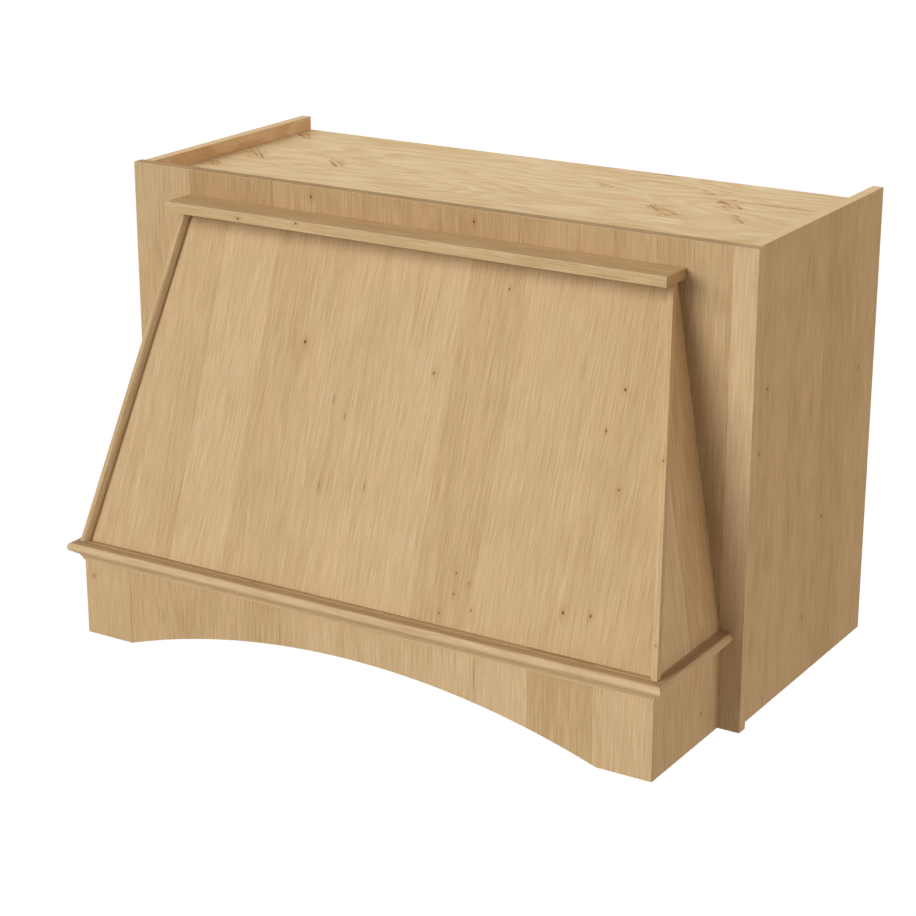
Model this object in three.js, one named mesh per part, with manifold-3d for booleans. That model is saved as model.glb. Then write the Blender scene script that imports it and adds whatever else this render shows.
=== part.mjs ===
// A wooden cover for a wall-mounted range hood: a box that hangs on the wall, with a tapered
// canopy on its face. Millimetres. X runs to the right seen from the room, Y runs into the wall
// and Z runs up. The origin is the middle of the upper wall rail's back face.
import * as THREE from 'three';
import { mergeVertices } from 'three/addons/utils/BufferGeometryUtils.js';
import Module from 'manifold-3d';

const wasm = await Module();
wasm.setup();

// ---- Driving dimensions -------------------------------------------------------------------
const SEAM = 0.3; // glue line left between neighbouring pieces
const BATTEN = 19; // square section of the hidden battens

const BOX = { width: 914.4, height: 609.6, depth: 381 };
const FACE = { thickness: 16, overhang: 4.8, drop: 3.2 }; // its edges beyond the side panels
const CUTOUT = { leg: 117, height: 320, corner: 24 }; // opening in the face, behind the canopy
const SIDE = { thickness: 15 };
const TOP = { thickness: 12, recess: 19 };
const WALL_RAIL = { thickness: 19, height: 76 };
const LINER_CLEAT = { lift: 25, height: 38 };

const APRON = { inset: 30, projection: 174.6, height: 130.5, thickness: 19 };
const ARCH = { foot: 74.6, rise: 57.5, steps: 48 };
const CORNER_BLOCK = { size: 30, endGap: 10 };
const MOULDING = { height: 25.8, flat: 9.6, nose: 16.3, toe: 2.2, noseHeight: 19.8, curveSteps: 8 };

const CAP = { inset: 92, thickness: 13.5, drop: 33.5 };
const CAP_NOSING = { front: 28.4, side: 4.9 }; // the cap's edges beyond the corner strips
const PANEL = { thickness: 9.5, topGap: 2.8 }; // topGap: from the face to its back, under the cap
const STRIP = { width: 11, depth: 9.5, proud: 6, lead: 3, flare: 4.7 }; // lead, flare: beyond the apron
const CHEEK = { thickness: 16 };
const PANEL_RAIL = { drop: 100, height: 25 }; // bevelled rail behind the sloped panel

const SCREW = { shank: 2, head: 4.5, headHeight: 2.5, bite: 12, sides: 16 };
const CLEAT_SCREWS = { aboveBottom: 70, belowTop: 60 };
const RAIL_SCREW_SPACING = 300;

// ---- Planes worked out from them, with Z = 0 at the lower edge of the face --------------------
const halfWidth = BOX.width / 2;
const faceBack = BOX.depth - FACE.thickness; // forward of the wall
const sideOuter = halfWidth - FACE.overhang;
const sideInner = sideOuter - SIDE.thickness;
const topUpper = BOX.height - TOP.recess;
const topUnder = topUpper - TOP.thickness;
const upperRailTop = topUnder - SEAM;
const originHeight = upperRailTop - WALL_RAIL.height / 2;

const apronOuter = halfWidth - APRON.inset;
const apronInner = apronOuter - APRON.thickness;
const capUpper = BOX.height - CAP.drop;
const capUnder = capUpper - CAP.thickness;
const wallBottom = APRON.height + SEAM; // sloped walls stand on the apron
const wallTop = capUnder - SEAM;

// A sloped face of the canopy: its distance at the apron's top edge and under the cap.
const slope = (low, high) => (z) => low + ((high - low) * (z - APRON.height)) / (capUnder - APRON.height);
const stripTopFront = PANEL.topGap + PANEL.thickness + SEAM + STRIP.depth;
const stripOuter = slope(apronOuter + STRIP.flare, halfWidth - CAP.inset - CAP_NOSING.side);
const stripFront = slope(APRON.projection + STRIP.lead, stripTopFront);
const cheekOuter = (z) => stripOuter(z) - STRIP.proud;
const cheekInner = (z) => cheekOuter(z) - CHEEK.thickness;
const panelFront = (z) => stripFront(z) - STRIP.depth - SEAM;
const panelBack = (z) => panelFront(z) - PANEL.thickness;

// The cleats inside the cheeks stop where the canopy gets too shallow for them.
const backLean = (panelBack(APRON.height) - panelBack(capUnder)) / (capUnder - APRON.height);
const cleatTop = capUnder - (SEAM + BATTEN + SEAM - PANEL.topGap) / backLean;

// ---- Materials ----------------------------------------------------------------------------
const wood = (color, roughness = 0.62) => new THREE.MeshStandardMaterial({ color, roughness, metalness: 0 });
const finish = {
  face: () => wood(0xc8a87a),
  side: () => wood(0xaa8a62),
  top: () => wood(0xd4b68a, 0.7),
  canopy: () => wood(0xc9a97c),
  trim: () => wood(0xc6a475),
  batten: () => wood(0xb48a5c, 0.75),
  steel: () => new THREE.MeshStandardMaterial({ color: 0x9a9a98, roughness: 0.4, metalness: 0.9 }),
};

// ---- Shape helpers --------------------------------------------------------------------------
const along = (forward) => -forward; // distance from the wall to Y
const ahead = (projection) => along(BOX.depth + projection); // distance from the face to Y

function named(name, geometry, material) {
  const mesh = new THREE.Mesh(geometry, material);
  mesh.name = name;
  return mesh;
}

// A square-edged board between two corners.
function board(name, material, x, y, z) {
  const geometry = new THREE.BoxGeometry(x[1] - x[0], y[1] - y[0], z[1] - z[0]);
  const mesh = named(name, geometry, material);
  mesh.position.set((x[0] + x[1]) / 2, (y[0] + y[1]) / 2, (z[0] + z[1]) / 2);
  return mesh;
}

function signedVolume(points, triangles) {
  const corner = new THREE.Vector3();
  return triangles.reduce((sum, [a, b, c]) => sum + points[a].dot(corner.crossVectors(points[b], points[c])), 0);
}

const doubleArea = (a, b, c) => (b.x - a.x) * (c.y - a.y) - (c.x - a.x) * (b.y - a.y);

// The closed solid between two rings of corners. flatten gives a corner's place in the ring's plane.
function loft(start, end, flatten) {
  const count = start.length;
  const flat = start.map(flatten);
  const turned = THREE.ShapeUtils.area(flat) < 0;
  const cap = THREE.ShapeUtils.triangulateShape(flat, []).map(([a, b, c]) =>
    doubleArea(flat[a], flat[b], flat[c]) < 0 ? [a, c, b] : [a, b, c],
  );
  const sides = [];
  for (let i = 0; i < count; i += 1) {
    const next = (i + 1) % count;
    const [a, b] = turned ? [next, i] : [i, next];
    sides.push([a, b, b + count], [a, b + count, a + count]);
  }
  const startCap = cap.map(([a, b, c]) => [a, c, b]);
  const endCap = cap.map(([a, b, c]) => [a + count, b + count, c + count]);
  const points = [...start, ...end];
  let triangles = [...startCap, ...endCap, ...sides];
  if (signedVolume(points, triangles) < 0) triangles = triangles.map(([a, b, c]) => [a, c, b]);
  const geometry = new THREE.BufferGeometry().setFromPoints(points);
  geometry.setIndex(triangles.flat());
  return geometry;
}

const planView = (p) => new THREE.Vector2(p.x, p.y);
const sideView = (p) => new THREE.Vector2(p.y, p.z);
const frontView = (p) => new THREE.Vector2(p.x, p.z);

// A leaning piece whose plan at height z is the rectangle x(z) by forward(z).
function leaning(bottom, top, x, forward) {
  const ring = (z) => {
    const [x0, x1] = x(z);
    const [y0, y1] = forward(z).map(ahead);
    return [[x0, y0], [x1, y0], [x1, y1], [x0, y1]].map(([px, py]) => new THREE.Vector3(px, py, z));
  };
  return loft(ring(bottom), ring(top), planView);
}

function toSolid(geometry) {
  const bare = geometry.clone();
  bare.deleteAttribute('normal');
  bare.deleteAttribute('uv');
  const merged = mergeVertices(bare);
  const vertProperties = new Float32Array(merged.attributes.position.array);
  return new wasm.Manifold(new wasm.Mesh({ numProp: 3, vertProperties, triVerts: new Uint32Array(merged.index.array) }));
}

function toGeometry(solid) {
  const { vertProperties, triVerts } = solid.getMesh();
  const geometry = new THREE.BufferGeometry();
  geometry.setAttribute('position', new THREE.BufferAttribute(vertProperties, 3));
  geometry.setIndex(new THREE.BufferAttribute(triVerts, 1));
  return geometry;
}

const SIDES = [['left', -1], ['right', 1]];
const mirrored = (side, x0, x1) => (side < 0 ? [-x1, -x0] : [x0, x1]);

// ---- Screws that hold the canopy to the face ------------------------------------------------
function screwPlaces() {
  const cleatMiddle = (z) => cheekInner(z) - SEAM - BATTEN / 2;
  const heights = [wallBottom + CLEAT_SCREWS.aboveBottom, cleatTop - CLEAT_SCREWS.belowTop];
  const places = SIDES.flatMap(([, side]) => heights.map((z) => [side * cleatMiddle(z), z]));
  const railMiddle = capUnder - PANEL_RAIL.drop - PANEL_RAIL.height / 2;
  return [...places, [-RAIL_SCREW_SPACING / 2, railMiddle], [RAIL_SCREW_SPACING / 2, railMiddle]];
}

// A hole from behind the face into the batten in front of it, with a seam's clearance round the shank.
function screwHole([x, z]) {
  const from = faceBack - SEAM;
  const to = BOX.depth + SEAM + SCREW.bite + SEAM;
  const hole = new THREE.CylinderGeometry(SCREW.shank + SEAM, SCREW.shank + SEAM, to - from, SCREW.sides);
  hole.translate(x, along((from + to) / 2), z);
  return toSolid(hole);
}

function drilled(geometry) {
  let solid = toSolid(geometry);
  for (const place of screwPlaces()) solid = solid.subtract(screwHole(place));
  return toGeometry(solid);
}

function screw(index, [x, z]) {
  const length = FACE.thickness + SEAM + SEAM + SCREW.bite;
  const profile = [[0, 0], [SCREW.shank, 0], [SCREW.shank, length], [SCREW.head, length]];
  profile.push([SCREW.head, length + SCREW.headHeight], [0, length + SCREW.headHeight]);
  const geometry = new THREE.LatheGeometry(profile.map(([r, y]) => new THREE.Vector2(r, y)), SCREW.sides);
  const mesh = named(`canopy_screw_${index + 1}`, geometry, finish.steel());
  mesh.position.set(x, along(faceBack - SEAM + length), z);
  return mesh;
}

// ---- The box that hangs on the wall -----------------------------------------------------------
function sidePanels() {
  const height = [FACE.drop, BOX.height];
  const depth = [along(faceBack - SEAM), 0];
  return SIDES.map(([hand, side]) =>
    board(`side_panel_${hand}`, finish.side(), mirrored(side, sideInner, sideOuter), depth, height),
  );
}

// One glued-up panel, open at the bottom behind the canopy.
function facePanel() {
  const cutHalf = halfWidth - CUTOUT.leg;
  const shoulder = CUTOUT.height - CUTOUT.corner;
  const outline = new THREE.Shape();
  outline.moveTo(-halfWidth, 0);
  outline.lineTo(-cutHalf, 0);
  outline.lineTo(-cutHalf, shoulder);
  outline.absarc(-cutHalf + CUTOUT.corner, shoulder, CUTOUT.corner, Math.PI, Math.PI / 2, true);
  outline.absarc(cutHalf - CUTOUT.corner, shoulder, CUTOUT.corner, Math.PI / 2, 0, true);
  outline.lineTo(cutHalf, 0);
  outline.lineTo(halfWidth, 0);
  outline.lineTo(halfWidth, BOX.height);
  outline.lineTo(-halfWidth, BOX.height);
  const geometry = new THREE.ExtrudeGeometry(outline, { depth: FACE.thickness, bevelEnabled: false, curveSegments: 8 });
  geometry.rotateX(Math.PI / 2);
  geometry.translate(0, along(faceBack), 0);
  return named('face_panel', drilled(geometry), finish.face());
}

function topPanel() {
  const half = sideInner - SEAM;
  return board('top_panel', finish.top(), [-half, half], [along(faceBack - SEAM), 0], [topUnder, topUpper]);
}

function wallRails() {
  const half = sideInner - SEAM;
  const rail = (name, top) =>
    board(name, finish.batten(), [-half, half], [along(WALL_RAIL.thickness), 0], [top - WALL_RAIL.height, top]);
  return [rail('wall_rail_upper', upperRailTop), rail('wall_rail_lower', FACE.drop + WALL_RAIL.height)];
}

// Battens in the inner corners: under the top panel, behind the face, and low down for the liner.
function boxBattens() {
  const outer = sideInner - SEAM;
  const inner = outer - BATTEN;
  const front = faceBack - SEAM;
  const behindFront = along(front - BATTEN - SEAM);
  const behindRail = along(WALL_RAIL.thickness + SEAM);
  const topRow = [topUnder - SEAM - BATTEN, topUnder - SEAM];
  const linerRow = [FACE.drop + LINER_CLEAT.lift, FACE.drop + LINER_CLEAT.lift + LINER_CLEAT.height];
  const frontRow = [along(front), along(front - BATTEN)];
  const pieces = [board('top_cleat_front', finish.batten(), [-outer, outer], frontRow, topRow)];
  for (const [hand, side] of SIDES) {
    const x = mirrored(side, inner, outer);
    pieces.push(
      board(`top_cleat_${hand}`, finish.batten(), x, [behindFront, behindRail], topRow),
      board(`face_cleat_${hand}`, finish.batten(), x, frontRow, [FACE.drop, topRow[0] - SEAM]),
      board(`liner_cleat_${hand}`, finish.batten(), x, [behindFront, behindRail], linerRow),
    );
  }
  return pieces;
}

// ---- The apron round the canopy's foot -------------------------------------------------------
// The arch is one arc of a circle through both feet and the crown.
function archPoints() {
  const halfSpan = apronOuter - ARCH.foot;
  const radius = (halfSpan ** 2 + ARCH.rise ** 2) / (2 * ARCH.rise);
  const sweep = Math.asin(halfSpan / radius);
  return Array.from({ length: ARCH.steps + 1 }, (_, i) => {
    const angle = sweep * ((2 * i) / ARCH.steps - 1);
    return [radius * Math.sin(angle), radius * Math.cos(angle) - radius + ARCH.rise];
  });
}

// Its ends are mitred, so the back is shorter than the front by a thickness at each end.
function apronFront() {
  const ring = (projection, half) => {
    const outline = [[-half, 0], ...archPoints(), [half, 0], [half, APRON.height], [-half, APRON.height]];
    return outline.map(([x, z]) => new THREE.Vector3(x, ahead(projection), z));
  };
  const back = APRON.projection - APRON.thickness;
  const geometry = loft(ring(back, apronInner - SEAM), ring(APRON.projection, apronOuter - SEAM), frontView);
  return named('apron_front', geometry, finish.canopy());
}

function apronReturns() {
  return SIDES.map(([hand, side]) => {
    const plan = [[apronInner, SEAM], [apronOuter, SEAM]];
    plan.push([apronOuter, APRON.projection - SEAM], [apronInner, APRON.projection - APRON.thickness - SEAM]);
    const ring = (z) => plan.map(([x, p]) => new THREE.Vector3(side * x, ahead(p), z));
    return named(`apron_${hand}`, loft(ring(0), ring(APRON.height), planView), finish.canopy());
  });
}

function apronBlocks() {
  const height = [CORNER_BLOCK.endGap, APRON.height - CORNER_BLOCK.endGap];
  const outer = apronInner - SEAM;
  const front = APRON.projection - APRON.thickness - SEAM;
  return SIDES.flatMap(([hand, side]) => {
    const blockX = mirrored(side, outer - CORNER_BLOCK.size, outer);
    const cleatX = mirrored(side, outer - BATTEN, outer);
    const blockY = [ahead(front), ahead(front - CORNER_BLOCK.size)];
    return [
      board(`apron_block_${hand}`, finish.batten(), blockX, blockY, height),
      board(`return_cleat_${hand}`, finish.batten(), cleatX, [ahead(SEAM + BATTEN), ahead(SEAM)], height),
    ];
  });
}

// ---- The moulding round the top of the apron ---------------------------------------------------
// Projection and height of its section: a cove at the foot, a rounded nose and a flat top.
function mouldingSection() {
  const { height, flat, nose, toe, noseHeight, curveSteps } = MOULDING;
  const waist = (toe + nose) / 2;
  const section = new THREE.Shape();
  section.moveTo(0, 0);
  section.bezierCurveTo(toe, height / 16, toe, height / 3, waist, height / 2);
  section.bezierCurveTo(nose - toe / 2, height * 0.58, nose, height * 0.68, nose, noseHeight);
  section.bezierCurveTo(nose, height * 0.92, (flat + nose) / 2, height, flat, height);
  section.lineTo(0, height);
  return section.getPoints(curveSteps).slice(0, -1);
}

function mouldings() {
  const bottom = APRON.height - MOULDING.height;
  const front = mouldingFrontRing(bottom, -1);
  const pieces = [named('moulding_front', loft(front, mouldingFrontRing(bottom, 1), sideView), finish.trim())];
  for (const [hand, side] of SIDES) {
    const x = (projection) => side * (apronOuter + SEAM + projection);
    const section = mouldingSection();
    const start = section.map((s) => new THREE.Vector3(x(s.x), ahead(SEAM), bottom + s.y));
    const end = section.map((s) => new THREE.Vector3(x(s.x), ahead(APRON.projection + s.x), bottom + s.y));
    pieces.push(named(`moulding_${hand}`, loft(start, end, frontView), finish.trim()));
  }
  return pieces;
}

// One mitred end of the front moulding.
function mouldingFrontRing(bottom, side) {
  return mouldingSection().map((s) => {
    const projection = APRON.projection + SEAM + s.x;
    return new THREE.Vector3(side * (apronOuter + s.x), ahead(projection), bottom + s.y);
  });
}

// ---- The canopy's sloped walls, their corner strips and the cap --------------------------------
function cheeks() {
  return SIDES.map(([hand, side]) => {
    const x = (z) => [side * cheekInner(z), side * cheekOuter(z)];
    const geometry = leaning(wallBottom, wallTop, x, (z) => [SEAM, panelBack(z) - SEAM]);
    return named(`cheek_${hand}`, geometry, finish.side());
  });
}

function slopedPanel() {
  const x = (z) => [-cheekOuter(z), cheekOuter(z)];
  const geometry = leaning(wallBottom, wallTop, x, (z) => [panelBack(z), panelFront(z)]);
  return named('sloped_panel', geometry, finish.canopy());
}

function cornerStrips() {
  return SIDES.map(([hand, side]) => {
    const x = (z) => [side * (stripOuter(z) - STRIP.width), side * stripOuter(z)];
    const geometry = leaning(wallBottom, wallTop, x, (z) => [stripFront(z) - STRIP.depth, stripFront(z)]);
    return named(`corner_strip_${hand}`, geometry, finish.trim());
  });
}

function capBoard() {
  const half = halfWidth - CAP.inset;
  const depth = [ahead(stripTopFront + CAP_NOSING.front), ahead(SEAM)];
  return board('cap_board', finish.trim(), [-half, half], depth, [capUnder, capUpper]);
}

function cheekCleats() {
  return SIDES.map(([hand, side]) => {
    const x = (z) => [side * (cheekInner(z) - SEAM - BATTEN), side * (cheekInner(z) - SEAM)];
    const geometry = leaning(wallBottom, cleatTop, x, () => [SEAM, SEAM + BATTEN]);
    return named(`cheek_cleat_${hand}`, drilled(geometry), finish.batten());
  });
}

// A rail from the face to the back of the sloped panel, bevelled to the slope.
function panelRail() {
  const top = capUnder - PANEL_RAIL.drop;
  const bottom = top - PANEL_RAIL.height;
  const x = (z) => [-1, 1].map((side) => side * (cheekInner(z) - SEAM - BATTEN - SEAM));
  const geometry = leaning(bottom, top, x, (z) => [SEAM, panelBack(z) - SEAM]);
  return named('panel_rail', drilled(geometry), finish.batten());
}

// ---- Assembly -----------------------------------------------------------------------------
const box = new THREE.Group();
box.add(...sidePanels(), facePanel(), topPanel(), ...wallRails(), ...boxBattens());

const canopy = new THREE.Group();
canopy.add(apronFront(), ...apronReturns(), ...apronBlocks(), ...mouldings(), ...cheeks(), slopedPanel());
canopy.add(...cornerStrips(), capBoard(), ...cheekCleats(), panelRail(), ...screwPlaces().map((p, i) => screw(i, p)));

const hoodCover = new THREE.Group();
hoodCover.add(box, canopy);
hoodCover.position.z = -originHeight;

export default hoodCover;
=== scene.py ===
import math

import bmesh
import bpy
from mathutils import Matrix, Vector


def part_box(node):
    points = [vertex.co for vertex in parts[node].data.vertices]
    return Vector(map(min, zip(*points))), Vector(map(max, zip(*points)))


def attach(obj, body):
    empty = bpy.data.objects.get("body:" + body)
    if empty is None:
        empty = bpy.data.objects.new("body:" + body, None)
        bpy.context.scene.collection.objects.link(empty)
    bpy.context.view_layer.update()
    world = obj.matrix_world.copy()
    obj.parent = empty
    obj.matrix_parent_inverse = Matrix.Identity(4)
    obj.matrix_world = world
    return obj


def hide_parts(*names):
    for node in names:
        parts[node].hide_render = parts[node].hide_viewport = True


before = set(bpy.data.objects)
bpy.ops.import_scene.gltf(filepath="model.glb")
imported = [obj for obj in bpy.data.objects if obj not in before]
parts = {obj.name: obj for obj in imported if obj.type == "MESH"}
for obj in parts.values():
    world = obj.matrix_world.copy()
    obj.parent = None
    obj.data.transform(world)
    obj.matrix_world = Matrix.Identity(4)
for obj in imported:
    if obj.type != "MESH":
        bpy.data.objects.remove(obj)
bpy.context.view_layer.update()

# ---------------------------- sizes and places, in metres

MM = 0.001
X, Y, Z = 0, 1, 2
TOUCH = 0.05 * MM          # corners this close to a board's end belong to that end

EASED_EDGE = 0.6 * MM      # how far the visible boards' edges are rounded over
MITRED_EDGE = 0.25 * MM    # less at mitres, so that the corner closes
ROUGH_EDGE = 0.9 * MM      # hidden battens are only broken with a plane
JOINT_WIDTH = 0.5 * MM     # the glue line between two planks

APRON_SIDE = 0.4272        # X of the apron returns' outer faces
APRON_FRONT = -0.5556      # Y of the apron's front face
MOULDING_BOTTOM = -0.4356  # Z of the moulding's underside
MOULDING_GAP = 0.3 * MM    # the moulding stands this far off the apron
FACE_FRONT = -0.3813       # Y where the side mouldings meet the face panel
HEART_DEPTH = -0.46        # where the heart of a board's log lies, in the board's depth direction

# plain numbers
NOISE_SPAN = (0.25, 0.75)  # what the values of Blender's noise mostly keep to
NEXT_SEED = 0.618          # added from one plank or batten to the next, so that no two look alike
MIDDLE_TONE = 0.5          # a colour ramp holds nothing below 0, so a plank's tone is stored from here
KNOT_STRETCH = 1.35        # how much longer than wide a pin knot is
INNER_FIGURE = 0.28        # how strongly the side panels' inner faces show peeled veneer
INNER_TONE = 0.3           # how much paler those faces are

# swings per metre of each effect in the wood: across the board, along its grain and into it
WANDERING = (7, 2.1, 7)
FINE_LINES = (360, 7, 360)
HAIR_LINES = (900, 20, 900)
STREAKS = (48, 2.2, 30)
BANDS = (12, 0.6, 8)
CLOUDS = (22, 7, 22)
FLAMES = (95, 7, 40)
PORES = (1900, 130, 1900)
PEELED_HILLS = (5.5, 1.5, 5.5)
RINGS_PER_METRE = 330
PEELED_CONTOURS = 11       # contour lines from the lowest to the highest of the peeled veneer's hills

# colours that lie on the bare wood
PORE_BROWN = "6B4A2A"
GLUE_BROWN = "7A5A38"
END_GRAIN_BROWN = "94672F"
KNOT_EYE = "52331B"
KNOT_HALO = "AD7840"
PATCH_STAIN = "DDA55F"
PATCH_FLECK = "8A5722"
FILLER = "CFC6B4"
SOILED = "8A6A45"
WORN = "E2CBA2"

# painted light: the wood's colour is multiplied by these where it turns from the front, a warm painted
# bounce light on side faces and undersides and a faint painted shade on tops
PAINTED_SIDE_BOUNCE = "FFF5E9"
PAINTED_TOP_SHADE = "FFFCF6"
PAINTED_UNDER_BOUNCE = "FFFBF1"
SIDEWAYS = (0.90, 0.95)    # how far to the side a board faces where its painted side bounce light begins and is full


# ---------------------------- small helpers for shader nodes


def colour(code):
    """A written colour such as "C8A87A" as the linear value that a shader takes."""
    shares = [int(code[place:place + 2], 16) / 255 for place in (0, 2, 4)]
    linear = [s / 12.92 if s < 0.04045 else ((s + 0.055) / 1.055) ** 2.4 for s in shares]
    return (*linear, 1.0)


class Wiring:
    """Adds and joins the nodes of one material or one shader node group."""

    def __init__(self, tree):
        self.tree = tree

    def add(self, kind, **settings):
        node = self.tree.nodes.new(kind)
        for name, value in settings.items():
            setattr(node, name, value)
        return node

    def feed(self, socket, value):
        """Links an output to the socket, or writes a plain value on it."""
        if isinstance(value, bpy.types.NodeSocket):
            self.tree.links.new(value, socket)
        else:
            socket.default_value = value

    def maths(self, operation, first, second=0.0):
        node = self.add("ShaderNodeMath", operation=operation)
        self.feed(node.inputs[0], first)
        self.feed(node.inputs[1], second)
        return node.outputs[0]

    def total(self, *values):
        result = values[0]
        for value in values[1:]:
            result = self.maths("ADD", result, value)
        return result

    def times(self, first, second):
        return self.maths("MULTIPLY", first, second)

    def minus(self, first, second):
        return self.maths("SUBTRACT", first, second)

    def swing(self, value, amount):
        """A 0 to 1 value as a swing of plus or minus half the amount."""
        return self.times(self.minus(value, 0.5), amount)

    def share(self, value, low, high, kind="LINEAR"):
        """How far the value has come from low to high, as 0 to 1."""
        node = self.add("ShaderNodeMapRange", interpolation_type=kind)
        for socket, given in zip(node.inputs, (value, low, high)):
            self.feed(socket, given)
        return node.outputs[0]

    def step_between(self, value, low, high):
        """A smooth step from 0 to 1 as the value goes from low to high."""
        return self.share(value, low, high, "SMOOTHSTEP")

    def parted(self, vector):
        """The three numbers of a vector."""
        node = self.add("ShaderNodeSeparateXYZ")
        self.feed(node.inputs[0], vector)
        return node.outputs

    def noise(self, place, swings, detail=2.0, roughness=0.5):
        """Soft noise from 0 to 1, with so many swings per metre in each of the place's directions."""
        node = self.add("ShaderNodeTexNoise")
        vector = self.add("ShaderNodeCombineXYZ")
        for socket, value, number in zip(vector.inputs, place, swings):
            self.feed(socket, self.times(value, number))
        self.feed(node.inputs["Vector"], vector.outputs[0])
        node.inputs["Scale"].default_value = 1.0
        node.inputs["Detail"].default_value = detail
        node.inputs["Roughness"].default_value = roughness
        return self.share(node.outputs[0], *NOISE_SPAN)

    def blend(self, factor, first, second, kind="MIX", clamp=True):
        """Mixes two colours. Without clamp, a factor beyond 0 and 1 goes beyond the two."""
        node = self.add("ShaderNodeMix", data_type="RGBA", blend_type=kind, clamp_factor=clamp)
        self.feed(node.inputs[0], factor)
        self.feed(node.inputs[6], first)
        self.feed(node.inputs[7], second)
        return node.outputs[2]

    def use(self, group, **values):
        """Places a shader node group. Underscores in the names stand for spaces."""
        node = self.add("ShaderNodeGroup", node_tree=group)
        for name, value in values.items():
            self.feed(node.inputs[name.replace("_", " ")], value)
        return node.outputs


def new_group(name, numbers, colours, gives, gives_colour=()):
    """An empty shader node group with named inputs and outputs."""
    tree = bpy.data.node_groups.new(name, "ShaderNodeTree")
    for label, usual in numbers.items():
        socket = tree.interface.new_socket(label, in_out="INPUT", socket_type="NodeSocketFloat")
        socket.default_value = usual
    for label, usual in colours.items():
        socket = tree.interface.new_socket(label, in_out="INPUT", socket_type="NodeSocketColor")
        socket.default_value = colour(usual)
    for label in gives_colour:
        tree.interface.new_socket(label, in_out="OUTPUT", socket_type="NodeSocketColor")
    for label in gives:
        tree.interface.new_socket(label, in_out="OUTPUT", socket_type="NodeSocketFloat")
    wiring = Wiring(tree)
    given = wiring.add("NodeGroupInput").outputs
    result = wiring.add("NodeGroupOutput").inputs
    return wiring, given, result


# ---------------------------- shared effects


def make_maple_grain():
    """Maple as a solid: fine lines, streaks and bands, with faint rings round a leaning heart."""
    wire, given, result = new_group(
        "Maple grain",
        {"Across": 0, "Along": 0, "Depth": 0, "Seed": 0.5, "Middle": 0, "Tone": 0,
         "Fine lines": 1.0, "Figure": 0.12, "Lean": 0.4, "Mottle": 0.34, "Rotary figure": 0,
         "Wander": 6 * MM},
        {"Pale wood": "DABE97", "Dark wood": "AF8C5D", "Warm wood": "C8986B"},
        ("Height", "Roughness"),
        ("Colour",),
    )
    seed = given["Seed"]
    shift = wire.times(seed, 13.7)
    across = wire.total(given["Across"], shift)
    along = wire.total(given["Along"], wire.times(seed, 7.9))
    depth = given["Depth"]

    straight = (across, along, depth)
    wander = wire.noise(straight, WANDERING)
    waved = (wire.total(across, wire.times(wire.minus(wander, 0.5), given["Wander"])), along, depth)
    fine = wire.noise(waved, FINE_LINES)
    hair = wire.noise(waved, HAIR_LINES)
    streak = wire.noise(waved, STREAKS, 3)
    band = wire.noise(waved, BANDS)
    cloud = wire.noise(straight, CLOUDS, 3)
    flame = wire.step_between(wire.noise(waved, FLAMES), 0.66, 1.0)
    pore = wire.step_between(wire.noise(waved, PORES, 1), 0.70, 0.95)

    # growth rings round the heart of the log, which leans along the board
    heart = wire.total(given["Middle"], wire.swing(wire.maths("FRACT", wire.times(seed, 7.31)), 0.12))
    sideways = wire.minus(wire.total(given["Across"], wire.swing(wander, 22 * MM)), heart)
    lean = wire.total(0.04, wire.times(wire.maths("FRACT", wire.times(seed, 3.17)), 0.06))
    lean = wire.times(lean, given["Lean"])
    inward = wire.total(wire.times(given["Along"], lean), depth, -HEART_DEPTH)
    radius = wire.maths("SQRT", wire.total(wire.times(sideways, sideways), wire.times(inward, inward)))
    rings = wire.total(wire.times(radius, RINGS_PER_METRE), wire.times(band, 1.2), wire.times(streak, 0.25))
    ring = wire.maths("FRACT", rings)
    late = wire.times(wire.step_between(ring, 0.20, 0.85), wire.step_between(ring, 1.0, 0.88))

    # the contour lines of veneer that is peeled from the log
    hills = wire.times(wire.noise(straight, PEELED_HILLS), PEELED_CONTOURS)
    contour = wire.maths("FRACT", wire.total(hills, wire.swing(hair, 0.3)))
    peeled = wire.times(wire.step_between(contour, 0.10, 0.75), wire.step_between(contour, 1.0, 0.80))

    slope = wire.swing(wire.maths("FRACT", wire.times(seed, 5.3)), 1.0)
    tilt = wire.times(wire.minus(given["Across"], given["Middle"]), slope)
    value = wire.total(
        0.60,
        given["Tone"],
        tilt,
        wire.times(wire.total(wire.swing(fine, 0.22), wire.swing(hair, 0.70)), given["Fine lines"]),
        wire.swing(streak, 0.07),
        wire.swing(band, 0.12),
        wire.times(wire.swing(cloud, 0.8), given["Mottle"]),
        wire.times(wire.minus(0.3, late), wire.times(given["Figure"], 0.5)),
        wire.times(wire.minus(0.3, peeled), given["Rotary figure"]),
        wire.times(flame, -0.10),
    )
    value = wire.maths("MAXIMUM", wire.maths("MINIMUM", value, 1.4), -0.5)
    bare = wire.blend(value, given["Dark wood"], given["Pale wood"], clamp=False)
    warmth = wire.total(
        wire.times(wire.step_between(cloud, 0.55, 0.95), 0.16),
        wire.times(flame, 0.15),
        wire.times(wire.times(peeled, given["Rotary figure"]), 1.2),
    )
    warmed = wire.blend(warmth, bare, given["Warm wood"])
    wire.feed(result["Colour"], wire.blend(wire.times(pore, 0.14), warmed, colour(PORE_BROWN)))
    wire.feed(result["Height"], wire.total(
        wire.times(fine, 0.35), wire.times(hair, 0.25), wire.times(late, -0.15), wire.times(pore, -0.8)))
    wire.feed(result["Roughness"], wire.total(
        0.68, wire.swing(fine, 0.08), wire.swing(cloud, 0.10),
        wire.times(late, -0.04), wire.times(pore, 0.12)))
    return wire.tree


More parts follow.
